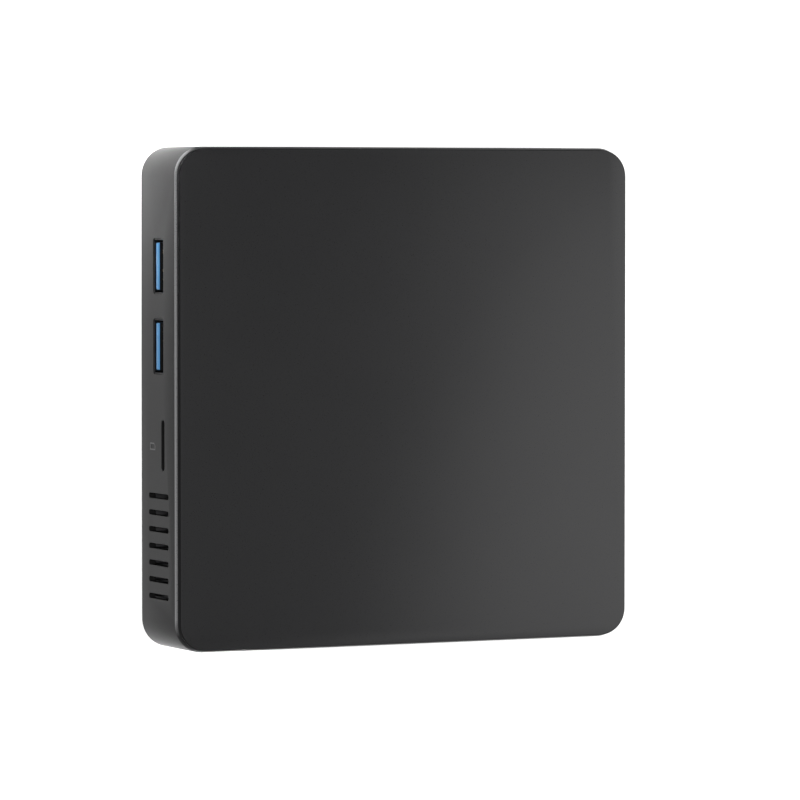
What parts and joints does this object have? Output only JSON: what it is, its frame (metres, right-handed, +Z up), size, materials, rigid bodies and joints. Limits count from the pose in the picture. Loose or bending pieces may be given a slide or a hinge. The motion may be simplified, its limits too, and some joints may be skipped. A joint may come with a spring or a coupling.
{
  "type": "mini pc",
  "caption": "Flat square desktop computer with round corners, ports in three walls, side vents, a push button, inner board, blower and card reader.",
  "frame": {"origin": "middle of the casing's outline at the level of the feet's undersides", "axes": "+Z up through the lid, +X out of the wall with the blue USB sockets, card slot and vents, +Y out of the wall with the power inlet and video sockets, -Y out of the wall with the power button"},
  "size_m": [0.12, 0.12, 0.024],
  "materials": {
    "case_metal": "dark grey anodised, satin, with a bright chamfer round the lid",
    "lid_plastic": "near-black satin",
    "base_plastic": "black, fine matt texture",
    "foot_rubber": "black soft rubber",
    "steel": "nickel-plated steel",
    "dark_nickel": "dark nickel plate",
    "socket_blue": "blue moulded plastic",
    "socket_black": "black moulded plastic",
    "light_pipe": "translucent white",
    "board_green": "green solder mask",
    "chip_black": "black moulding compound",
    "copper": "bare copper",
    "fin_aluminium": "bare aluminium",
    "cell_steel": "bright nickel",
    "antenna_film": "amber polyimide film over copper",
    "lead_black": "black insulation"
  },
  "bodies": {
    "case": {"antenna": "antenna_film", "antenna_lead": "lead_black", "audio_jack": "socket_black", "board_screw_1": "steel", "board_screw_2": "steel", "board_screw_3": "steel", "board_screw_4": "steel", "bottom_cover": "base_plastic", "card_socket": "steel", "cell_holder": "socket_black", "coin_cell": "cell_steel", "cold_plate": "copper", "cooler_screw_1": "steel", "cooler_screw_2": "steel", "cover_screw_1": "steel", "cover_screw_2": "steel", "cover_screw_3": "steel", "cover_screw_4": "steel", "fan_cover": "steel", "fan_housing": "socket_black", "fan_lead": "lead_black", "fan_plug": "light_pipe", "fin_stack": "fin_aluminium", "foot_front_left": "foot_rubber", "foot_front_right": "foot_rubber", "foot_rear_left": "foot_rubber", "foot_rear_right": "foot_rubber", "hdmi_1_shell": "steel", "hdmi_1_tongue": "socket_black", "hdmi_2_shell": "steel", "hdmi_2_tongue": "socket_black", "heat_pipe": "copper", "lan_socket": "steel", "light_pipe": "light_pipe", "mainboard": "board_green", "memory_chip_1": "chip_black", "memory_chip_2": "chip_black", "power_inlet": "socket_black", "power_inlet_pin": "steel", "power_switch": "steel", "processor": "chip_black", "side_frame": "case_metal", "ssd_module": "board_green", "ssd_screw": "steel", "ssd_socket": "socket_black", "ssd_standoff": "cell_steel", "top_cover": "lid_plastic", "usb2_1_shell": "dark_nickel", "usb2_1_tongue": "socket_black", "usb2_2_shell": "dark_nickel", "usb2_2_tongue": "socket_black", "usb3_1_shell": "dark_nickel", "usb3_1_tongue": "socket_blue", "usb3_2_shell": "dark_nickel", "usb3_2_tongue": "socket_blue", "wifi_module": "board_green"},
    "button": {"power_button": "case_metal", "switch_plunger": "socket_black"},
    "rotor": {"fan_rotor": "chip_black"},
    "carriage": {"card_carriage": "socket_black"}
  },
  "joints": [
    {"name": "power_button_press", "type": "slide", "parent": "case", "child": "button", "axis": [0, 1, 0], "range_m": [0, 0.0008], "stiffness_N_per_m": 900},
    {"name": "fan_spin", "type": "hinge", "parent": "case", "child": "rotor", "pos_m": [0.029, 0.034, 0.0083], "axis": [0, 0, 1], "continuous": true},
    {"name": "card_carriage_push", "type": "slide", "parent": "case", "child": "carriage", "axis": [-1, 0, 0], "range_m": [0, 0.0012], "stiffness_N_per_m": 400}
  ]
}
